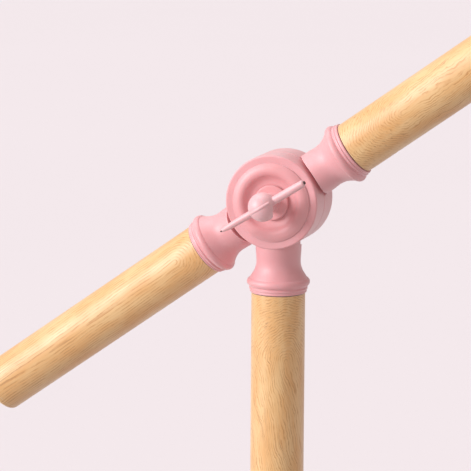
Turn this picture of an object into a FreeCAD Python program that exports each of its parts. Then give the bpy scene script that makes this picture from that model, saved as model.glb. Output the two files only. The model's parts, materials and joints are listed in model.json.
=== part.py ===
# Locking swivel joint for round display tubes: a post, a straight boom that tilts on it, and a
# tee knob that clamps the two moulded hub halves together.
# Frame: +Z runs up the post, Y is the swivel axis with the knob at -Y, and the long arm is at +X.
# The origin is the centre of the post tube's open lower end. All sizes are in millimetres.
import FreeCAD, Part
import math
import os

os.makedirs("parts", exist_ok=True)

# Driving dimensions of the whole joint
hub_height = 138.0          # from the post's open end up to the swivel axis
arm_length = 132.0          # from the swivel axis to the long arm's open end
tail_length = 172.0         # from the swivel axis to the tail's capped end
cap_start = tail_length - 3.0
boom_rise = 35.4            # degrees that the long arm stands above level, as set
bar_rise = 31.9             # degrees that the tee bar stands above level, as set

# Tubes: a thin steel tube in a printed wrap, its mouths sized for the plugs that go in them
tube_radius = 12.5          # outside, over the wrap
wrap_thickness = 0.2
tube_bore_radius = 11.1
mouth_radius = 11.3
mouth_depth = 25.0
glue_gap = 0.02             # between pieces of one body that sit against each other

# Turned collar of each moulding, measured along its tube from the swivel axis
bead_radius = 14.65
bead_place = 38.7
collar_end = 43.4
tube_start = 43.8
spigot_radius = 11.2
spigot_end = 64.0
spigot_rib = 2.4            # the spigot is a ribbed cross between solid discs
spigot_core_radius = 3.5

# Hub drums, measured along the swivel axis: depth is positive towards the knob
drum_radius = 21.8
front_depth = 12.9
rear_depth = 14.0
half_gap = 0.15             # each half stops this far from the middle plane
swing_radius = 23.6         # clear of the other half's drum, cut into each neck
cover_radius = 18.2
cover_seat_radius = 18.22
front_seat_depth = 10.9
rear_seat_depth = 12.0
core_outer_radius = 17.2
front_core_radius = 10.0    # inside radius of the front half's moulding pockets
front_core_depth = 8.0
rear_core_radius = 8.6
rear_core_depth = 2.65      # where the rear half's pockets stop, behind the middle plane
rib_count = 6
rib_thickness = 1.8

# Pivot and clamp
disc_radius = 19.0          # the friction disc, seated in the front half
disc_seat_radius = 19.2
disc_back = 1.75
sleeve_radius = 5.0
sleeve_back = 3.45          # the sleeve's ends, behind and in front of the middle plane
sleeve_front = 6.4
screw_radius = 3.0
running_gap = 0.06          # radial, between a turning pair
opening_radius = 7.6        # round opening in the front cover, for the knob's boss
well_radius = 7.8
well_floor = 6.6
nut_across_flats = 10.0
nut_thickness = 5.0
nut_seat = 5.5              # depth of the nut's pocket floor behind the middle plane
screw_tip = 11.0            # how far the clamp screw reaches behind the middle plane

# Tee knob
ball_depth = 26.2           # ball centre, in front of the middle plane
ball_radius = 6.65
ball_flat = 4.75            # from the ball's centre to the flat on its long-arm side
boss_radius = 8.1           # the boss's flange, over the edge of the cover's opening
boss_face = 13.3
stem_radius = 3.6
screw_head = 24.3           # the screw's end inside the ball
bar_half_length = 23.4
bar_radius = 1.9

# Fixing screws, on the side away from the knob
fixing_place = 52.0         # along each tube from the swivel axis
fixing_radius = 1.4

hub = FreeCAD.Vector(0, 0, hub_height)
up = FreeCAD.Vector(0, 0, 1)
rise = math.radians(boom_rise)
arm_way = FreeCAD.Vector(math.cos(rise), 0, math.sin(rise))
tail_way = -arm_way
post_way = FreeCAD.Vector(0, 0, -1)
front_way = FreeCAD.Vector(0, -1, 0)
tilt = math.radians(bar_rise)
bar_way = FreeCAD.Vector(math.cos(tilt), 0, math.sin(tilt))


def point(radius, place):
    return FreeCAD.Vector(radius, 0, place)


def revolved(edges):
    """Turn a closed outline, edges in order, into a solid with its faces outwards."""
    solid = Part.Face(Part.Wire(edges)).revolve(FreeCAD.Vector(0, 0, 0), up, 360)
    solid = Part.Solid(solid.Shells[0])
    if solid.Volume < 0:
        solid.reverse()
    return solid


def turned(start, *moves):
    """Turn an outline about Z. A move is a point for a line, or a middle and an end for an arc."""
    edges = []
    here = point(*start)
    for move in moves + (start,):
        if isinstance(move[0], tuple):
            there = point(*move[1])
            edges.append(Part.Arc(here, point(*move[0]), there).toShape())
        else:
            there = point(*move)
            edges.append(Part.makeLine(here, there))
        here = there
    return revolved(edges)


def rod(radius, low, high, inner=0.0):
    """A plain round bar, or a ring, about Z from low to high."""
    outer = Part.makeCylinder(radius, high - low, point(0, low))
    return outer.cut(Part.makeCylinder(inner, high - low, point(0, low))) if inner else outer


def placed(shape, way, centre=hub):
    """Move a shape made about Z so that its Z points the given way from a centre."""
    moved = shape.copy()
    moved.Placement = FreeCAD.Placement(centre, FreeCAD.Rotation(up, way))
    return moved


def along_swivel(shape):
    """Lay a shape made about Z along the swivel axis, its Z towards the knob."""
    return placed(shape, front_way)


def save(name, shape):
    """Write one piece, or one set of alike pieces, after testing that every solid is sound."""
    solids = shape.Solids
    assert solids and all(solid.isValid() and solid.isClosed() for solid in solids), name
    piece = solids[0] if len(solids) == 1 else Part.makeCompound(solids)
    piece.exportStep(f"parts/{name}.step")


def flare():
    """The neck's root, oval and nearly as deep as the drum, drawn in to the waist and out again."""
    ovals = []
    for place, across, deep in (
        (12.0, 10.5, 12.4), (20.0, 10.5, 12.35), (23.4, 10.45, 12.0), (26.4, 10.3, 11.25),
        (28.9, 10.2, 10.75), (31.0, 10.45, 10.7), (33.2, 11.2, 11.3), (35.1, 12.3, 12.35),
        (36.8, 13.35, 13.4), (37.6, 13.5, 13.55),
    ):
        centre = FreeCAD.Vector(0, 0, place)
        oval = Part.Ellipse(
            centre + FreeCAD.Vector(0, deep, 0), centre + FreeCAD.Vector(across, 0, 0), centre
        )
        ovals.append(Part.Wire(oval.toShape()))
    curve_degree = 3
    return Part.makeLoft(ovals, True, False, False, curve_degree)


def neck():
    """The flare, bead and thin rings of one collar, with its ribbed spigot."""
    bead_start = point(13.6, 36.9)
    inner_start = 36.0      # inside the flare
    bead_foot = point(13.6, 40.4)
    ring_foot = point(13.55, 41.3)
    edges = [
        Part.makeLine(point(0, inner_start), point(11.6, inner_start)),
        Part.makeLine(point(11.6, inner_start), bead_start),
        Part.Arc(bead_start, point(bead_radius, bead_place), bead_foot).toShape(),
        Part.Arc(bead_foot, point(13.25, 40.8), ring_foot).toShape(),
    ]
    corners = [ring_foot] + [point(*step) for step in (
        (13.55, 41.8), (13.1, 42.2), (13.1, 42.6), (13.2, 42.8), (13.2, collar_end - 0.25),
        (12.95, collar_end), (spigot_radius, collar_end), (spigot_radius, spigot_end - 1.0),
        (spigot_radius - 0.8, spigot_end), (0, spigot_end), (0, inner_start),
    )]
    edges += [Part.makeLine(a, b) for a, b in zip(corners, corners[1:])]
    solid = revolved(edges).fuse(flare())
    for low, high in ((45.4, 49.6), (54.4, 62.0)):
        pockets = rod(spigot_radius + 1, low, high, spigot_core_radius)
        for turn in (0, 90):
            rib = Part.makeBox(
                2 * spigot_radius + 4, spigot_rib, high - low,
                FreeCAD.Vector(-spigot_radius - 2, -spigot_rib / 2, low),
            )
            rib.rotate(FreeCAD.Vector(0, 0, 0), up, turn)
            pockets = pockets.cut(rib)
        solid = solid.cut(pockets)
    return solid


def hexagon(across_flats, low, high):
    """A hexagonal bar about Z."""
    reach = across_flats / math.sqrt(3)
    corners = [
        FreeCAD.Vector(reach * math.cos(i * math.pi / 3), reach * math.sin(i * math.pi / 3), low)
        for i in range(7)
    ]
    return Part.Face(Part.makePolygon(corners)).extrude(FreeCAD.Vector(0, 0, high - low))


def clear_of(other_low, other_high):
    """The space that the other half's drum swings through, along the swivel axis."""
    return along_swivel(rod(swing_radius, other_low, other_high))


def cores(inner_radius, low, high):
    """Moulding pockets between the ribs, as one cutter about Z."""
    ring = rod(core_outer_radius, low, high, inner_radius)
    for index in range(rib_count):
        rib = Part.makeBox(
            2 * core_outer_radius, rib_thickness, high - low,
            FreeCAD.Vector(0, -rib_thickness / 2, low),
        )
        rib.rotate(FreeCAD.Vector(0, 0, 0), up, (index + 0.5) * 360 / rib_count)
        ring = ring.cut(rib)
    return ring


def fixing_hole(way, radius):
    """A round hole from the tube's far side inwards, square to the tube and to the swivel."""
    return placed(rod(radius, 5.0, 20.0), FreeCAD.Vector(0, 1, 0), hub + way * fixing_place)


def fixing_screw(way):
    """A small pan-head screw with a cross slot, its head down on the wrap."""
    head_radius, head_height = 2.7, 1.7
    seat = tube_radius + glue_gap
    body = turned(
        (0, seat - 6.0), (0.4, seat - 6.0), (fixing_radius, seat - 4.6), (fixing_radius, seat),
        (head_radius, seat), (head_radius, seat + 0.7),
        ((1.9, seat + 1.45), (0.3, seat + head_height)), (0, seat + head_height),
    )
    for turn in (0, 90):
        slot = Part.makeBox(3.0, 0.6, 2.0, FreeCAD.Vector(-1.5, -0.3, seat + 0.9))
        slot.rotate(FreeCAD.Vector(0, 0, 0), up, turn)
        body = body.cut(slot)
    return placed(body, FreeCAD.Vector(0, 1, 0), hub + way * fixing_place)


def tube(end):
    """The steel tube about Z, from the collar to its end, with a sized mouth at each end."""
    outside = tube_radius - wrap_thickness - glue_gap
    body = rod(outside, tube_start, end, tube_bore_radius)
    body = body.cut(rod(mouth_radius, tube_start, tube_start + mouth_depth))
    return body.cut(rod(mouth_radius, end - mouth_depth, end))


def wrap(end):
    """The printed wrap, as long as its tube."""
    return rod(tube_radius, tube_start, end, tube_radius - wrap_thickness)


def make_tube_set(name, way, end):
    """Write the steel tube and its printed wrap, both drilled for the fixing screw."""
    drill = fixing_hole(way, fixing_radius + 0.2)
    save(f"{name}_tube", placed(tube(end), way).cut(drill))
    save(f"{name}_wrap", placed(wrap(end), way).cut(drill))


def make_front_hub():
    """Front drum and the post's collar, one moulding."""
    edge = 0.8
    drum = turned(
        (0, half_gap), (drum_radius - 0.3, half_gap), (drum_radius, half_gap + 0.3),
        (drum_radius, front_depth - edge),
        ((drum_radius - 0.3 * edge, front_depth - 0.3 * edge), (drum_radius - edge, front_depth)),
        (0, front_depth),
    )
    post_neck = placed(neck(), post_way).cut(clear_of(-rear_depth, half_gap))
    body = along_swivel(drum).fuse(post_neck)
    for cutter in (
        rod(cover_seat_radius, front_seat_depth, front_depth + 1),
        rod(well_radius, well_floor, front_depth),
        rod(sleeve_radius + running_gap, 0, front_depth),
        rod(disc_seat_radius, 0, disc_back + glue_gap),
        cores(front_core_radius, 0, front_core_depth),
    ):
        body = body.cut(along_swivel(cutter))
    body = body.cut(fixing_hole(post_way, fixing_radius + 0.05))
    save("front_hub", body.removeSplitter())


def make_rear_hub():
    """Rear drum and both of the boom's collars, one moulding."""
    edge = 0.7
    drum = turned(
        (0, -half_gap), (drum_radius - 0.3, -half_gap), (drum_radius, -half_gap - 0.3),
        (drum_radius, edge - rear_depth),
        ((drum_radius - 0.3 * edge, 0.3 * edge - rear_depth), (drum_radius - edge, -rear_depth)),
        (0, -rear_depth),
    )
    body = along_swivel(drum)
    for way in (arm_way, tail_way):
        body = body.fuse(placed(neck(), way).cut(clear_of(-half_gap, front_depth)))
    for cutter in (
        rod(cover_seat_radius, -rear_depth - 1, -rear_seat_depth),
        cores(rear_core_radius, -rear_seat_depth - 1, -rear_core_depth),
        hexagon(nut_across_flats + 0.1, -rear_seat_depth - 1, -nut_seat),
        rod(sleeve_radius + glue_gap, -sleeve_back - 0.05, 0),
        rod(screw_radius + 0.3, -nut_seat - 1, 0),
    ):
        body = body.cut(along_swivel(cutter))
    for way in (arm_way, tail_way):
        body = body.cut(fixing_hole(way, fixing_radius + 0.05))
    save("rear_hub", body.removeSplitter())


def make_covers():
    """The domed ring round the knob and the low dome over the nut, both pressed in."""
    seat = front_seat_depth + glue_gap
    ring = turned(
        (opening_radius, seat), (cover_radius, seat), (cover_radius, 13.1),
        ((18.08, 13.48), (17.7, 13.75)),
        ((16.32, 14.6), (14.7, 14.9)),
        ((13.4, 14.58), (12.4, 13.65)),
        ((10.85, 12.25), (8.9, 11.75)),
        (opening_radius, 11.6),
    )
    save("front_cover", along_swivel(ring))
    seat = -rear_seat_depth - glue_gap
    rim = 0.1 - rear_depth
    dome = turned(
        (0, seat), (cover_radius, seat), (cover_radius, rim),
        ((17.9, rim - 0.3), (17.4, rim - 0.5)), ((9.0, rim - 1.6), (0.3, rim - 2.0)),
        (0, rim - 2.0),
    )
    save("rear_cover", along_swivel(dome))


def make_pivot():
    """The sleeve both halves turn on, the friction disc between them, the nut and the washers."""
    sleeve = rod(sleeve_radius, -sleeve_back, sleeve_front, screw_radius + running_gap)
    save("pivot_sleeve", along_swivel(sleeve))
    save("friction_disc", along_swivel(rod(disc_radius, half_gap, disc_back, sleeve_radius + 0.5)))
    nut_front = -nut_seat - glue_gap
    nut_back = nut_front - nut_thickness
    rounding = turned(
        (0, nut_front), (5.4, nut_front), (6.1, nut_front - 0.6), (6.1, nut_back + 0.6),
        (5.4, nut_back), (0, nut_back),
    )
    nut = hexagon(nut_across_flats, nut_back, nut_front)
    nut = nut.common(rounding).cut(rod(screw_radius + running_gap, -20, 0))
    save("clamp_nut", along_swivel(nut))
    save("thrust_washer", along_swivel(rod(7.4, 6.9, 7.9, screw_radius + 0.1)))
    spring = rod(5.6, 7.95, 9.1, screw_radius + 0.1)
    split = Part.makeBox(6.0, 0.9, 3.0, FreeCAD.Vector(1.0, -0.45, 7.0))
    split.rotate(FreeCAD.Vector(0, 0, 8.5), FreeCAD.Vector(1, 0, 0), 25)
    save("spring_washer", along_swivel(spring.cut(split)))


def make_knob():
    """Boss and stem, ball, tee bar with its end plugs, and the screw they turn."""
    flange_back = 12.05
    boss = turned(
        (screw_radius + glue_gap, 9.4), (6.8, 9.4), (6.8, flange_back),
        (boss_radius - 0.15, flange_back), (boss_radius, flange_back + 0.15),
        (boss_radius, boss_face - 0.6),
        ((boss_radius - 0.18, boss_face - 0.18), (boss_radius - 0.6, boss_face)),
        (stem_radius + 1.2, boss_face),
        ((stem_radius + 0.35, boss_face + 0.35), (stem_radius, boss_face + 1.2)),
        (stem_radius, ball_depth - 5.0), (screw_radius + glue_gap, ball_depth - 5.0),
    )
    save("knob_boss", along_swivel(boss))

    bar = turned(
        (0, -bar_half_length + 1.0), (0.8, -bar_half_length + 1.0),
        ((1.3, -19.0), (1.55, -14.0)), ((1.62, -10.0), (1.65, -6.0)), (bar_radius, -5.0),
        (bar_radius, 6.0), ((1.85, 13.0), (1.7, bar_half_length - 1.8)),
        ((1.5, bar_half_length - 1.0), (1.1, bar_half_length - 0.7)), (0, bar_half_length - 0.7),
    )
    plug_holes = rod(0.42, -bar_half_length + 0.9, -bar_half_length + 4.0)
    plug_holes = plug_holes.fuse(rod(0.82, bar_half_length - 4.0, bar_half_length))
    ball_centre = hub + front_way * ball_depth
    save("tee_bar", placed(bar.cut(plug_holes), bar_way, ball_centre))
    left_plug = turned(
        (0, -bar_half_length), (0.3, -bar_half_length), (0.52, -bar_half_length + 0.98),
        (0.4, -bar_half_length + 0.98), (0.4, -bar_half_length + 3.5), (0, -bar_half_length + 3.5),
    )
    right_plug = turned(
        (0, bar_half_length - 3.5), (0.8, bar_half_length - 3.5), (0.8, bar_half_length - 0.5),
        ((0.7, bar_half_length - 0.15), (0.3, bar_half_length)), (0, bar_half_length),
    )
    plugs = [placed(plug, bar_way, ball_centre) for plug in (left_plug, right_plug)]
    save("bar_end_plugs", Part.makeCompound(plugs))

    # the cast ridge that runs from the left arm's root round the front of the ball
    ridge_arc, ridge_radius = 6.05, 0.95
    ridge_stop = math.radians(42)
    ridge = Part.makeTorus(
        ridge_arc, ridge_radius, FreeCAD.Vector(0, 0, 0), up, 0, 360, 180 - math.degrees(ridge_stop)
    )
    ridge.rotate(FreeCAD.Vector(0, 0, 0), up, math.degrees(ridge_stop))
    ridge_end = FreeCAD.Vector(math.cos(ridge_stop), math.sin(ridge_stop), 0) * ridge_arc
    ridge = ridge.fuse(Part.makeSphere(ridge_radius, ridge_end))
    across = bar_way.cross(front_way)
    ridge.Placement = FreeCAD.Placement(FreeCAD.Matrix(
        bar_way.x, front_way.x, across.x, ball_centre.x,
        bar_way.y, front_way.y, across.y, ball_centre.y,
        bar_way.z, front_way.z, across.z, ball_centre.z,
        0, 0, 0, 1,
    ))
    ball = placed(Part.makeSphere(ball_radius), bar_way, ball_centre)
    # the flat stands upright and faces a little to the rear
    flat_way = FreeCAD.Vector(0.95, 0.3, 0)
    ball = ball.cut(placed(rod(ball_radius, ball_flat, 10), flat_way, ball_centre)).fuse(ridge)
    ball = ball.cut(placed(rod(bar_radius + glue_gap, -10, 10), bar_way, ball_centre))
    ball = ball.cut(along_swivel(rod(stem_radius + glue_gap, 10, ball_depth - 5.0 + glue_gap)))
    ball = ball.cut(along_swivel(rod(screw_radius + glue_gap, 10, screw_head + 0.1)))
    save("knob_ball", ball.removeSplitter())

    screw = turned(
        (0, -screw_tip), (screw_radius - 0.7, -screw_tip), (screw_radius, 0.7 - screw_tip),
        (screw_radius, screw_head), (0, screw_head),
    )
    save("clamp_screw", along_swivel(screw))


def make_tail_cap():
    """The plug that closes the tail, its head as wide as the tube and rounded over."""
    plug_start, inside = cap_start - 16.0, 8.5
    head = cap_start + glue_gap
    edge = 2.0
    cap = turned(
        (inside, plug_start), (spigot_radius - 0.6, plug_start), (spigot_radius, plug_start + 1.0),
        (spigot_radius, head), (tube_radius, head), (tube_radius, tail_length - edge),
        ((tube_radius - 0.29 * edge, tail_length - 0.29 * edge), (tube_radius - edge, tail_length)),
        (0, tail_length), (0, cap_start), (inside, cap_start),
    )
    save("tail_cap", placed(cap, tail_way))


make_tube_set("post", post_way, hub_height)
make_tube_set("arm", arm_way, arm_length)
make_tube_set("tail", tail_way, cap_start)
make_front_hub()
make_rear_hub()
make_covers()
make_pivot()
make_knob()
make_tail_cap()
save("post_tube_screw", fixing_screw(post_way))
save("boom_tube_screws", Part.makeCompound([fixing_screw(arm_way), fixing_screw(tail_way)]))
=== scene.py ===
import json
import math
import bpy
import bmesh
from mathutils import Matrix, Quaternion, Vector


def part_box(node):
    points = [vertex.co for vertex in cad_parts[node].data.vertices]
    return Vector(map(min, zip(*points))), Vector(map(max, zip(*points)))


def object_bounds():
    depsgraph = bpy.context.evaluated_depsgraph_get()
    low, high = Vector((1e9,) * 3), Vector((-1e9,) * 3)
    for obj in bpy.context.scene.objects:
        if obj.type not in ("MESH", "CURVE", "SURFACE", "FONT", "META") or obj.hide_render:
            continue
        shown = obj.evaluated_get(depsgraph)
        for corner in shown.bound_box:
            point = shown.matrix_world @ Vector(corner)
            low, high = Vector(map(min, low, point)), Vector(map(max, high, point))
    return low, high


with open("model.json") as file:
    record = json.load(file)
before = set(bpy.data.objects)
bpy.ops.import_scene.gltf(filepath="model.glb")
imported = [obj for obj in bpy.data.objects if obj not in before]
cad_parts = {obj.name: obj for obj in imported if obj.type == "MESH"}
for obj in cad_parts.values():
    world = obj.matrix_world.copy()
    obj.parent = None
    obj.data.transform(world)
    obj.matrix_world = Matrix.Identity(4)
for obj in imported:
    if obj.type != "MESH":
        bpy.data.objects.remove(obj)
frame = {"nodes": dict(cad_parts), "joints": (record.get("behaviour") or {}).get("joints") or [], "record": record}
cad_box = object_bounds()

# Camera: a long lens a little above the joint and to its right. The joint sits right of the
# middle and above it, so that the tail runs out to the lower left and the post downwards.
tilt_joint = next(joint for joint in frame["joints"] if joint["name"] == "boom_tilt")
hub = Vector(tilt_joint["pos_m"])
camera_turn, camera_rise, camera_roll = math.radians(17.5), math.radians(9.8), math.radians(0.3)
camera_distance, camera_lens, film_width = 1.17, 194, 36
camera_back = Vector((
    math.sin(camera_turn) * math.cos(camera_rise),
    -math.cos(camera_turn) * math.cos(camera_rise),
    math.sin(camera_rise),
))
camera_right = Vector((math.cos(camera_turn), math.sin(camera_turn), 0))
camera_up = camera_back.cross(camera_right)
hub_right_of_middle, hub_above_middle = 0.0200, 0.0171
looked_at = hub - camera_right * hub_right_of_middle - camera_up * hub_above_middle
camera = bpy.data.objects.new("camera", bpy.data.cameras.new("camera"))
camera.data.lens, camera.data.sensor_width = camera_lens, film_width
camera.location = looked_at + camera_back * camera_distance
aim = (-camera_back).to_track_quat("-Z", "Y") @ Quaternion((0, 0, 1), camera_roll)
camera.rotation_euler = aim.to_euler()
bpy.context.scene.collection.objects.link(camera)
bpy.context.scene.camera = camera
bpy.context.scene.view_settings.view_transform = "Standard"

# Studio: an even warm room, a broad key light on the left in front, a softer one overhead, a
# weak one from the right to open the shadows, and a pale floor well below the post's open end.
# The lights stand so far off that they reach the whole floor evenly.
room = bpy.data.worlds.new("studio")
bpy.context.scene.world = room
room.use_nodes = True
room_light = room.node_tree.nodes["Background"]
room_light.inputs["Color"].default_value = (1.0, 0.905, 0.880, 1)
room_light.inputs["Strength"].default_value = 0.46


def far_light(name, offset, spread, strength, color):
    """A far light that shines towards the hub from an offset, its spread in radians."""
    lamp = bpy.data.objects.new(name, bpy.data.lights.new(name, "SUN"))
    lamp.data.angle, lamp.data.energy, lamp.data.color = spread, strength, color
    lamp.location = hub + Vector(offset)
    lamp.rotation_euler = Vector(offset).to_track_quat("Z", "Y").to_euler()
    bpy.context.scene.collection.objects.link(lamp)


far_light("key", offset=(-1.15, -1.00, 0.52), spread=0.50, strength=2.70,
          color=(1.0, 0.985, 1.0))
far_light("overhead", offset=(-0.35, 0.15, 1.2), spread=0.8, strength=1.20,
          color=(1.0, 0.98, 1.0))
far_light("fill", offset=(1.5, -1.0, 0.3), spread=1.2, strength=0.12, color=(1.0, 0.97, 0.98))
floor_half_width, floor_drop = 9, 0.10
floor_mesh = bpy.data.meshes.new("floor")
grid = bmesh.new()
bmesh.ops.create_grid(grid, x_segments=4, y_segments=4, size=floor_half_width)
grid.to_mesh(floor_mesh)
grid.free()
floor = bpy.data.objects.new("floor", floor_mesh)
floor.location = (0, 0, cad_box[0][2] - floor_drop)
bpy.context.scene.collection.objects.link(floor)
# soft light passes through the floor, so that the joint's underside gets the even room's light
# and not the pale floor's stronger return
floor.visible_diffuse = False


def add(tree, kind, sockets=None, **settings):
    """Put a shader node in a tree. Its sockets take values or other nodes' outputs."""
    node = tree.nodes.new("ShaderNode" + kind)
    for key, value in settings.items():
        setattr(node, key, value)
    for key, value in (sockets or {}).items():
        if isinstance(value, bpy.types.NodeSocket):
            tree.links.new(value, node.inputs[key])
        else:
            node.inputs[key].default_value = value
    return node


def blend_colors(tree, share, first, second):
    """Mix two colours by a share; a colour is four numbers or an output."""
    node = add(tree, "Mix", data_type="RGBA", clamp_factor=True)
    factor, color_a, color_b = node.inputs[0], node.inputs[6], node.inputs[7]
    for socket, value in ((factor, share), (color_a, first), (color_b, second)):
        if isinstance(value, bpy.types.NodeSocket):
            tree.links.new(value, socket)
        else:
            socket.default_value = value
    return node.outputs[2]


def ramp(tree, value, low, high, to_low=0.0, to_high=1.0):
    """Ease a value from one span to another, smoothly and with its ends held."""
    node = add(tree, "MapRange", {
        "Value": value, "From Min": low, "From Max": high, "To Min": to_low, "To Max": to_high,
    }, interpolation_type="SMOOTHSTEP")
    return node.outputs["Result"]


def noise(tree, place, scale, detail=2.0, output="Fac"):
    """Soft cloudy noise at a place."""
    sockets = {"Vector": place, "Scale": scale, "Detail": detail}
    return add(tree, "TexNoise", sockets).outputs[output]


def start_material(name):
    """A new material, its tree and its shader."""
    material = bpy.data.materials.new(name)
    material.use_nodes = True
    return material, material.node_tree, material.node_tree.nodes["Principled BSDF"]


def here(tree):
    """The point's place on its own piece, in metres."""
    return add(tree, "TexCoord").outputs["Object"]


floor_shade, floor_light = (0.812, 0.768, 0.792, 1), (0.830, 0.786, 0.810, 1)
floor_material, tree, shader = start_material("pale studio floor")
cloud = noise(tree, here(tree), 1.3)
paper = noise(tree, here(tree), 240.0, 3.0)
tree.links.new(blend_colors(tree, cloud, floor_shade, floor_light), shader.inputs["Base Color"])
tree.links.new(ramp(tree, paper, 0.3, 0.7, 0.86, 0.94), shader.inputs["Roughness"])
shader.inputs["Specular IOR Level"].default_value = 0.1
floor_mesh.materials.append(floor_material)

# Printed wraps: each tube wears a thin plastic wrap printed with the figure of pale wood. The
# wrap is rolled round the tube and butted in one straight seam on the side away from the knob.
# The figure is the rings of a bent cone, cut at another place and stretch for each tube.
mounts = {mount["name"]: mount for mount in frame["record"]["mounts"]}
post_way = Vector(mounts["post_socket"]["axis"])
arm_way = Vector(mounts["arm_socket"]["axis"])
post_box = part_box("post_wrap")
mm_per_metre = 1000
wrap_radius_mm = (post_box[1].x - post_box[0].x) / 2 * mm_per_metre


def calc(tree, operation, *values, clamp=False):
    """One step of arithmetic on numbers or outputs."""
    sockets = dict(enumerate(values))
    return add(tree, "Math", sockets, operation=operation, use_clamp=clamp).outputs[0]


def vec(tree, operation, *values):
    """One step of arithmetic on vectors."""
    sockets = dict(enumerate(values))
    node = add(tree, "VectorMath", sockets, operation=operation)
    return node.outputs["Value" if operation in ("DOT_PRODUCT", "LENGTH") else "Vector"]


def group(name, inputs, outputs):
    """Start a node group. Gives its tree, its inputs inside it, and its outputs to fill."""
    tree = bpy.data.node_groups.new(name, "ShaderNodeTree")
    for way, sockets in (("INPUT", inputs), ("OUTPUT", outputs)):
        for socket, kind in sockets.items():
            tree.interface.new_socket(socket, in_out=way, socket_type="NodeSocket" + kind)
    return tree, tree.nodes.new("NodeGroupInput").outputs, tree.nodes.new("NodeGroupOutput").inputs


def use(tree, name, **sockets):
    """Place a node group in a tree and give back its outputs."""
    node = tree.nodes.new("ShaderNodeGroup")
    node.node_tree = bpy.data.node_groups[name]
    for key, value in sockets.items():
        socket = node.inputs[key.replace("_", " ")]
        if isinstance(value, bpy.types.NodeSocket):
            tree.links.new(value, socket)
        else:
            socket.default_value = value
    return node.outputs


tree, given, result = group(
    "unrolled tube", {"Way": "Vector", "Hub": "Vector"},
    {"Unrolled": "Vector", "Seam": "Float", "Across": "Vector", "End Face": "Float"},
)
from_hub = vec(tree, "SUBTRACT", here(tree), given["Hub"])
knob_side = (0, -1, 0)
other_side = vec(tree, "CROSS_PRODUCT", given["Way"], knob_side)
front_part = vec(tree, "DOT_PRODUCT", from_hub, knob_side)
side_part = vec(tree, "DOT_PRODUCT", from_hub, other_side)
length_part = vec(tree, "DOT_PRODUCT", from_hub, given["Way"])
along = calc(tree, "MULTIPLY", length_part, mm_per_metre)
turn = calc(tree, "ARCTAN2", side_part, front_part)
around = calc(tree, "MULTIPLY", turn, wrap_radius_mm)
flat = add(tree, "CombineXYZ", {"X": around, "Y": along})
tree.links.new(flat.outputs[0], result["Unrolled"])
from_seam = calc(tree, "SUBTRACT", math.pi * wrap_radius_mm, calc(tree, "ABSOLUTE", around))
seam_dark_to, seam_gone_by = 0.12, 0.30  # mm from the seam's middle
tree.links.new(ramp(tree, from_seam, seam_dark_to, seam_gone_by, 1.0, 0.0), result["Seam"])
across = add(tree, "CombineXYZ", {
    "X": calc(tree, "MULTIPLY", side_part, mm_per_metre),
    "Y": calc(tree, "MULTIPLY", front_part, mm_per_metre),
})
tree.links.new(across.outputs[0], result["Across"])
facing = vec(tree, "DOT_PRODUCT", add(tree, "NewGeometry").outputs["True Normal"], given["Way"])
tree.links.new(ramp(tree, facing, 0.55, 0.85), result["End Face"])

tree, given, result = group(
    "wood figure",
    {"Unrolled": "Vector", "Centre": "Vector", "Near Stretch": "Float", "Far Stretch": "Float",
     "Slant": "Float", "Spacing": "Float", "Waver": "Float", "Seed": "Float"},
    {"Line": "Float", "Fibre": "Float", "Dash": "Float", "Tone": "Float", "Height": "Float"},
)
# slow and quick bends of the sheet, so that the rings waver
seed_step = add(tree, "CombineXYZ", {"X": given["Seed"], "Y": given["Seed"], "Z": given["Seed"]})
mm_per_seed = (37.0, 91.0, 13.0)
moved = vec(tree, "MULTIPLY", seed_step.outputs[0], mm_per_seed)
sheet = vec(tree, "ADD", given["Unrolled"], moved)
slow = vec(tree, "MULTIPLY", sheet, (0.075, 0.040, 1.0))
bend = vec(tree, "SUBTRACT", noise(tree, slow, 1.0, 1.0, "Color"), (0.5, 0.5, 0.5))
quick = vec(tree, "MULTIPLY", sheet, (0.42, 0.22, 1.0))
ripple = vec(tree, "SUBTRACT", noise(tree, quick, 1.0, 3.0, "Color"), (0.5, 0.5, 0.5))
ripple_share = (0.26, 0.26, 0.26)
both_bends = vec(tree, "ADD", bend, vec(tree, "MULTIPLY", ripple, ripple_share))
waver = add(tree, "CombineXYZ", {"X": given["Waver"], "Y": given["Waver"]})
bent = vec(tree, "ADD", given["Unrolled"], vec(tree, "MULTIPLY", both_bends, waver.outputs[0]))
# rings round the centre, drawn out before and beyond it and leaning over beyond it
from_centre = add(tree, "SeparateXYZ", {
    "Vector": vec(tree, "SUBTRACT", bent, given["Centre"])}).outputs
near = calc(tree, "MULTIPLY", calc(tree, "MINIMUM", from_centre["Y"], 0.0), given["Near Stretch"])
far_length = calc(tree, "MAXIMUM", from_centre["Y"], 0.0)
far = calc(tree, "MULTIPLY", far_length, given["Far Stretch"])
slanted = calc(tree, "ADD", from_centre["X"], calc(tree, "MULTIPLY", far_length, given["Slant"]))
ring_place = add(tree, "CombineXYZ", {"X": slanted, "Y": calc(tree, "ADD", near, far)}).outputs[0]
ring = vec(tree, "LENGTH", ring_place)
# the dark late wood that ends each ring, fading in and out along it
rings = calc(tree, "DIVIDE", ring, given["Spacing"])
phase = calc(tree, "FRACT", rings)
late = calc(tree, "MULTIPLY", ramp(tree, phase, 0.45, 0.88), ramp(tree, phase, 0.88, 1.0, 1.0, 0.0))
fading = noise(tree, vec(tree, "MULTIPLY", sheet, (0.34, 0.13, 1.0)), 1.0, 3.0)
fade = ramp(tree, fading, 0.41, 0.60, 0.20, 1.0)
line = calc(tree, "MULTIPLY", late, fade, clamp=True)
tree.links.new(line, result["Line"])
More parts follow.
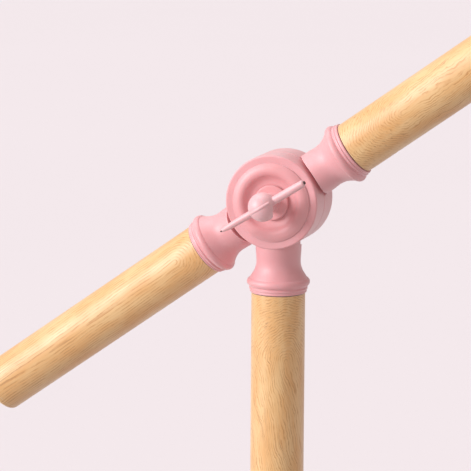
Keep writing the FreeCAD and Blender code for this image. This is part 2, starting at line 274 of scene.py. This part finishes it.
# pale fibre and short dark dashes that lie along the rings
spread_out = vec(tree, "MULTIPLY", ring_place, (0.30, 0.30, 1.0))
across_rings = add(tree, "CombineXYZ", {"Z": calc(tree, "MULTIPLY", ring, 2.1)}).outputs[0]
along_ring = vec(tree, "ADD", across_rings, vec(tree, "ADD", spread_out, moved))
grain = noise(tree, along_ring, 1.0, 5.0)
fibre = ramp(tree, grain, 0.34, 0.66)
tree.links.new(fibre, result["Fibre"])
dash_place = vec(tree, "MULTIPLY", along_ring, (1.5, 1.5, 1.55))
dashes = ramp(tree, noise(tree, dash_place, 1.0, 3.0), 0.56, 0.70)
dash_fields = noise(tree, vec(tree, "MULTIPLY", sheet, (0.13, 0.06, 1.0)), 1.0, 2.0)
dash = calc(tree, "MULTIPLY", dashes, ramp(tree, dash_fields, 0.36, 0.60, 0.35, 1.0))
tree.links.new(dash, result["Dash"])
# broad pale and warm drifts down the tube, and the pressed-in lines
drift = noise(tree, vec(tree, "MULTIPLY", sheet, (0.15, 0.035, 1.0)), 1.0, 3.0)
tree.links.new(ramp(tree, drift, 0.32, 0.68), result["Tone"])
sunk = calc(tree, "ADD", calc(tree, "MULTIPLY", line, 0.5), calc(tree, "MULTIPLY", dash, 0.6))
tree.links.new(calc(tree, "SUBTRACT", calc(tree, "MULTIPLY", fibre, 0.3), sunk), result["Height"])

# the shared rub on outside edges: paler and smoother where hands and boxes touch
tree, given, result = group(
    "edge rub", {"Width": "Float", "Patchiness": "Float"}, {"Rub": "Float"},
)
rounded = add(tree, "Bevel", {"Radius": given["Width"]}, samples=6).outputs["Normal"]
sharpness = vec(tree, "DOT_PRODUCT", rounded, add(tree, "NewGeometry").outputs["Normal"])
edge = ramp(tree, sharpness, 0.985, 0.86)
patches = ramp(tree, noise(tree, here(tree), 260.0, 3.0), 0.35, 0.62)
kept = calc(tree, "SUBTRACT", 1.0, calc(tree, "MULTIPLY", given["Patchiness"],
                                        calc(tree, "SUBTRACT", 1.0, patches)))
tree.links.new(calc(tree, "MULTIPLY", edge, kept, clamp=True), result["Rub"])


def emboss(tree, shader, height, strength, distance):
    """Raise or sink the surface by a height, through the shader's normal."""
    bump = add(tree, "Bump", {"Height": height, "Strength": strength, "Distance": distance})
    tree.links.new(bump.outputs["Normal"], shader.inputs["Normal"])


def coat_node(node, material):
    """Give a frame node's every slot this material."""
    for slot in frame["nodes"][node].material_slots:
        slot.material = material


cream, honey = (0.875, 0.560, 0.250, 1), (0.810, 0.430, 0.145, 1)
late_wood, dash_brown = (0.580, 0.255, 0.068, 1), (0.400, 0.170, 0.052, 1)
pale_fibre, seam_brown = (0.900, 0.640, 0.340, 1), (0.330, 0.200, 0.100, 1)
rubbed_print = (0.93, 0.80, 0.62, 1)


def wrap_material(name, way, cut, end_cut=None):
    """The printed figure on one tube, with its seam, its soft gloss and its pressed-in lines."""
    material, tree, shader = start_material(name)
    tube = use(tree, "unrolled tube", Way=way, Hub=hub)
    figure = use(tree, "wood figure", Unrolled=tube["Unrolled"], **cut)
    line, dash = figure["Line"], figure["Dash"]
    if end_cut:
        end = use(tree, "wood figure", Unrolled=tube["Across"], **end_cut)
        both = add(tree, "Mix", {0: tube["End Face"], 2: figure["Line"], 3: end["Line"]})
        line = both.outputs[0]
        dash = calc(tree, "MULTIPLY", dash, calc(tree, "SUBTRACT", 1.0, tube["End Face"]))
    rub = use(tree, "edge rub", Width=0.0005, Patchiness=0.7)["Rub"]
    color = blend_colors(tree, figure["Tone"], cream, honey)
    for mark, share, mark_color in (
            (figure["Fibre"], 0.28, pale_fibre), (line, 0.78, late_wood),
            (dash, 0.62, dash_brown), (rub, 0.45, rubbed_print),
            (tube["Seam"], 0.75, seam_brown)):
        color = blend_colors(tree, calc(tree, "MULTIPLY", mark, share), color, mark_color)
    tree.links.new(color, shader.inputs["Base Color"])
    print_roughness = 0.46
    worn = calc(tree, "ADD", calc(tree, "MULTIPLY", line, 0.10),
                calc(tree, "MULTIPLY", figure["Tone"], 0.08))
    tree.links.new(calc(tree, "ADD", worn, print_roughness), shader.inputs["Roughness"])
    shader.inputs["Coat Weight"].default_value = 0.9
    shader.inputs["Coat Roughness"].default_value = 0.50
    shader.inputs["Sheen Weight"].default_value = 0.25
    shader.inputs["Sheen Roughness"].default_value = 0.5
    height = calc(tree, "SUBTRACT", figure["Height"], calc(tree, "MULTIPLY", tube["Seam"], 3.0))
    emboss(tree, shader, height, strength=0.35, distance=0.00004)
    return material


# each cut's centre is round the tube from its front and along it from the hub, in mm
post_cut = {"Centre": (-8.5, 73.0, 0), "Near_Stretch": 1.0, "Far_Stretch": 0.06, "Slant": 0.25,
            "Spacing": 1.20, "Waver": 7.5, "Seed": 3.0}
arm_cut = {"Centre": (-1.5, 75.0, 0), "Near_Stretch": 0.85, "Far_Stretch": 0.03, "Slant": 0.02,
           "Spacing": 1.15, "Waver": 9.0, "Seed": 7.0}
tail_cut = {"Centre": (2.0, 56.0, 0), "Near_Stretch": 0.80, "Far_Stretch": 0.02, "Slant": 0.02,
            "Spacing": 1.30, "Waver": 2.5, "Seed": 11.0}
coat_node("post_wrap", wrap_material("post wood print", post_way, post_cut))
coat_node("arm_wrap", wrap_material("arm wood print", arm_way, arm_cut))
coat_node("tail_wrap", wrap_material("tail wood print", -arm_way, tail_cut))

# Tail cap: a moulded plug with the same print on its head, rounded over at the end. It is
# pushed into the tail's open mouth and its face shows the rings of end grain.
end_grain_cut = {"Centre": (5.0, -3.0, 0), "Near_Stretch": 0.8, "Far_Stretch": 0.9, "Slant": 0.0,
                 "Spacing": 1.5, "Waver": 2.0, "Seed": 13.0}
coat_node("tail_cap", wrap_material("tail cap print", -arm_way, tail_cut, end_grain_cut))

# Steel tubes: thin drawn tube, bare inside, with fine lines along it from the drawing die and
# a few patches of dull oil film. Only the open mouths show.
tree, given, result = group(
    "drawn lines", {"Way": "Vector", "Fineness": "Float"}, {"Streak": "Float", "Film": "Float"},
)
place = here(tree)
length = vec(tree, "DOT_PRODUCT", place, given["Way"])
length_taken_out = 0.985
drawn_out = add(tree, "VectorMath", {
    "Vector": given["Way"], "Scale": calc(tree, "MULTIPLY", length, length_taken_out),
}, operation="SCALE").outputs["Vector"]
shortened = vec(tree, "SUBTRACT", place, drawn_out)
streaks = add(tree, "TexNoise", {
    "Vector": shortened, "Detail": 4.0, "Scale": given["Fineness"],
})
tree.links.new(streaks.outputs["Fac"], result["Streak"])
tree.links.new(ramp(tree, noise(tree, place, 90.0, 3.0), 0.38, 0.62), result["Film"])

rubbed_steel = (0.88, 0.88, 0.87, 1)


def darker(color, share):
    """A colour with its red, green and blue taken down to a share."""
    return tuple(share * part for part in color[:3]) + (1,)


def steel_material(name, way, bright, dull, fineness, roughness):
    """Bare or plated metal with drawn or turned lines, film and rubbed edges."""
    material, tree, shader = start_material(name)
    lines = use(tree, "drawn lines", Way=way, Fineness=fineness)
    color = blend_colors(tree, ramp(tree, lines["Streak"], 0.3, 0.7), dull, bright)
    color = blend_colors(tree, calc(tree, "MULTIPLY", lines["Film"], 0.3), color,
                         darker(dull, 0.7))
    rub = use(tree, "edge rub", Width=0.0003, Patchiness=0.4)["Rub"]
    color = blend_colors(tree, calc(tree, "MULTIPLY", rub, 0.6), color, rubbed_steel)
    tree.links.new(color, shader.inputs["Base Color"])
    rough = calc(tree, "ADD", roughness, calc(tree, "MULTIPLY", lines["Film"], 0.15))
    tree.links.new(rough, shader.inputs["Roughness"])
    shader.inputs["Metallic"].default_value = 1.0
    emboss(tree, shader, lines["Streak"], strength=0.25, distance=0.00003)
    return material


bright_tube, dull_tube = (0.68, 0.68, 0.69, 1), (0.46, 0.46, 0.47, 1)
for node, way in (("post_tube", post_way), ("arm_tube", arm_way), ("tail_tube", arm_way)):
    name = node.replace("_", " ") + " steel"
    coat_node(node, steel_material(name, way, bright_tube, dull_tube,
                                   fineness=3200.0, roughness=0.30))

# Hub halves and covers: satin plastic moulded in one pink, with the faint mottle of moulded
# colour, a fine orange-peel skin and paler rubbed edges. The covers are pressed in.
tree, given, result = group(
    "moulded skin", {"Fineness": "Float"},
    {"Mottle": "Float", "Speck": "Float", "Height": "Float"},
)
place = here(tree)
flow = noise(tree, vec(tree, "MULTIPLY", place, (1.0, 1.0, 0.7)), 55.0, 4.0)
tree.links.new(ramp(tree, flow, 0.32, 0.68), result["Mottle"])
tree.links.new(ramp(tree, noise(tree, place, 1500.0, 2.0), 0.60, 0.74), result["Speck"])
peel = add(tree, "TexNoise", {"Vector": place, "Scale": given["Fineness"], "Detail": 2.0})
grit = noise(tree, place, 5200.0, 2.0)
tree.links.new(calc(tree, "ADD", peel.outputs["Fac"], calc(tree, "MULTIPLY", grit, 0.25)),
               result["Height"])

tree, given, result = group(
    "handling scuffs", {"Amount": "Float"}, {"Scuff": "Float"},
)
place = here(tree)
long_place = vec(tree, "MULTIPLY", place, (1.0, 1.0, 0.16))
cross_place = vec(tree, "MULTIPLY", place, (0.2, 0.6, 1.0))
hairs = calc(tree, "MAXIMUM", ramp(tree, noise(tree, long_place, 1900.0, 3.0), 0.66, 0.74),
             ramp(tree, noise(tree, cross_place, 1700.0, 3.0), 0.68, 0.76))
where = ramp(tree, noise(tree, place, 120.0, 2.0), 0.48, 0.68)
tree.links.new(calc(tree, "MULTIPLY", calc(tree, "MULTIPLY", hairs, where), given["Amount"]),
               result["Scuff"])


def pink_material(name, pale, deep, rubbed, roughness, peel_size, relief):
    """Satin pink, moulded or enamelled, with its own paleness, gloss and skin."""
    material, tree, shader = start_material(name)
    skin = use(tree, "moulded skin", Fineness=peel_size)
    scuff = use(tree, "handling scuffs", Amount=0.5)["Scuff"]
    rub = use(tree, "edge rub", Width=0.0006, Patchiness=0.6)["Rub"]
    color = blend_colors(tree, skin["Mottle"], deep, pale)
    color = blend_colors(tree, calc(tree, "MULTIPLY", skin["Speck"], 0.18), color,
                         darker(deep, 0.8))
    color = blend_colors(tree, calc(tree, "MULTIPLY", rub, 0.5), color, rubbed)
    color = blend_colors(tree, calc(tree, "MULTIPLY", scuff, 0.35), color, rubbed)
    tree.links.new(color, shader.inputs["Base Color"])
    sheen = calc(tree, "ADD", roughness, calc(tree, "MULTIPLY", skin["Mottle"], 0.07))
    sheen = calc(tree, "SUBTRACT", sheen, calc(tree, "MULTIPLY", rub, 0.08))
    tree.links.new(calc(tree, "ADD", sheen, calc(tree, "MULTIPLY", scuff, 0.15)),
                   shader.inputs["Roughness"])
    shader.inputs["Specular IOR Level"].default_value = 0.62
    shader.inputs["Coat Weight"].default_value = 0.8
    shader.inputs["Coat Roughness"].default_value = 0.55
    shader.inputs["Sheen Weight"].default_value = 0.30
    shader.inputs["Sheen Roughness"].default_value = 0.5
    shader.inputs["Subsurface Weight"].default_value = 0.18
    shader.inputs["Subsurface Radius"].default_value = (1.0, 0.38, 0.32)
    shader.inputs["Subsurface Scale"].default_value = 0.0025
    height = calc(tree, "SUBTRACT", skin["Height"], calc(tree, "MULTIPLY", scuff, 0.5))
    emboss(tree, shader, height, strength=relief, distance=0.00005)
    return material


rubbed_pink = (0.930, 0.600, 0.625, 1)
hub_pink = pink_material(
    "hub pink", pale=(0.855, 0.412, 0.436, 1), deep=(0.808, 0.362, 0.380, 1),
    rubbed=rubbed_pink, roughness=0.48, peel_size=700.0, relief=0.30)
cover_pink = pink_material(
    "cover pink", pale=(0.850, 0.396, 0.414, 1), deep=(0.808, 0.352, 0.366, 1),
    rubbed=rubbed_pink, roughness=0.44, peel_size=820.0, relief=0.25)
for node in ("front_hub", "rear_hub"):
    coat_node(node, hub_pink)
for node in ("front_cover", "rear_cover", "knob_boss"):
    coat_node(node, cover_pink)

# Friction disc: pressed dark fibre bonded into the front half. Only its rim is seen, in the
# slit between the halves.
material, tree, shader = start_material("pressed friction fibre")
place = here(tree)
strands = ramp(tree, noise(tree, vec(tree, "MULTIPLY", place, (1.0, 3.0, 0.3)), 2600.0, 4.0),
               0.42, 0.60)
flecks = ramp(tree, noise(tree, place, 3800.0, 2.0), 0.66, 0.72)
dark_fibre, grey_fibre = (0.040, 0.028, 0.024, 1), (0.110, 0.080, 0.066, 1)
brass_fleck = (0.420, 0.270, 0.120, 1)
color = blend_colors(tree, strands, dark_fibre, grey_fibre)
color = blend_colors(tree, flecks, color, brass_fleck)
tree.links.new(color, shader.inputs["Base Color"])
tree.links.new(ramp(tree, strands, 0.0, 1.0, 0.75, 0.92), shader.inputs["Roughness"])
emboss(tree, shader, strands, strength=0.5, distance=0.00008)
coat_node("friction_disc", material)

# Pivot and clamp: the sleeve, nut, washers and screw are turned or pressed steel with a thin
# zinc plating. The screw joins the knob to the nut through the sleeve.
swivel_way = Vector(tilt_joint["axis"])
bright_zinc, dull_zinc = (0.76, 0.76, 0.74, 1), (0.60, 0.60, 0.58, 1)
zinc = steel_material("zinc plating", swivel_way, bright_zinc, dull_zinc,
                      fineness=2400.0, roughness=0.26)
for node in ("pivot_sleeve", "clamp_nut", "thrust_washer", "spring_washer", "clamp_screw"):
    coat_node(node, zinc)

# Tube screws: small plated pan heads with a cross slot, driven through each tube into its
# collar's spigot from the side away from the knob. Deep in their slots they turn darker, duller and less metallic.
bright_plating, dull_plating = (0.78, 0.78, 0.76, 1), (0.58, 0.58, 0.56, 1)
slot_dark, rubbed_plating = (0.14, 0.11, 0.09, 1), (0.90, 0.90, 0.88, 1)
material, tree, shader = start_material("screw plating")
lines = use(tree, "drawn lines", Way=Vector((0, 1, 0)), Fineness=4200.0)
rub = use(tree, "edge rub", Width=0.0002, Patchiness=0.3)["Rub"]
hollow = add(tree, "AmbientOcclusion", {"Distance": 0.0012}, samples=8, only_local=True)
# darker, rougher and less metallic by how closely the slot closes in round each point
slot_darkening = ramp(tree, hollow.outputs["AO"], 0.45, 0.85, 1.0, 0.0)
color = blend_colors(tree, lines["Streak"], dull_plating, bright_plating)
color = blend_colors(tree, calc(tree, "MULTIPLY", slot_darkening, 0.8), color, slot_dark)
color = blend_colors(tree, calc(tree, "MULTIPLY", rub, 0.6), color, rubbed_plating)
tree.links.new(color, shader.inputs["Base Color"])
tree.links.new(calc(tree, "ADD", 0.24, calc(tree, "MULTIPLY", slot_darkening, 0.5)),
               shader.inputs["Roughness"])
tree.links.new(calc(tree, "SUBTRACT", 1.0, calc(tree, "MULTIPLY", slot_darkening, 0.7)),
               shader.inputs["Metallic"])
emboss(tree, shader, lines["Streak"], strength=0.2, distance=0.00002)
for node in ("post_tube_screw", "boom_tube_screws"):
    coat_node(node, material)

# Tee knob: a cast ball with a turned bar driven through it, sprayed together in pink enamel,
# on a moulded boss. A dark plug closes each end of the bar.
enamel = pink_material(
    "knob enamel", pale=(0.885, 0.510, 0.535, 1), deep=(0.840, 0.455, 0.480, 1),
    rubbed=(0.930, 0.660, 0.675, 1), roughness=0.42, peel_size=1300.0, relief=0.40)
for node in ("knob_ball", "tee_bar"):
    coat_node(node, enamel)
plug_dark, plug_brown, rubbed_plug = (
    (0.060, 0.026, 0.026, 1), (0.120, 0.062, 0.058, 1), (0.260, 0.160, 0.150, 1))
material, tree, shader = start_material("dark bar plug")
place = here(tree)
mix = ramp(tree, noise(tree, place, 2100.0, 4.0), 0.35, 0.65)
rub = use(tree, "edge rub", Width=0.0002, Patchiness=0.5)["Rub"]
color = blend_colors(tree, mix, plug_dark, plug_brown)
color = blend_colors(tree, calc(tree, "MULTIPLY", rub, 0.5), color, rubbed_plug)
tree.links.new(color, shader.inputs["Base Color"])
tree.links.new(ramp(tree, mix, 0.0, 1.0, 0.50, 0.66), shader.inputs["Roughness"])
emboss(tree, shader, mix, strength=0.4, distance=0.00004)
coat_node("bar_end_plugs", material)
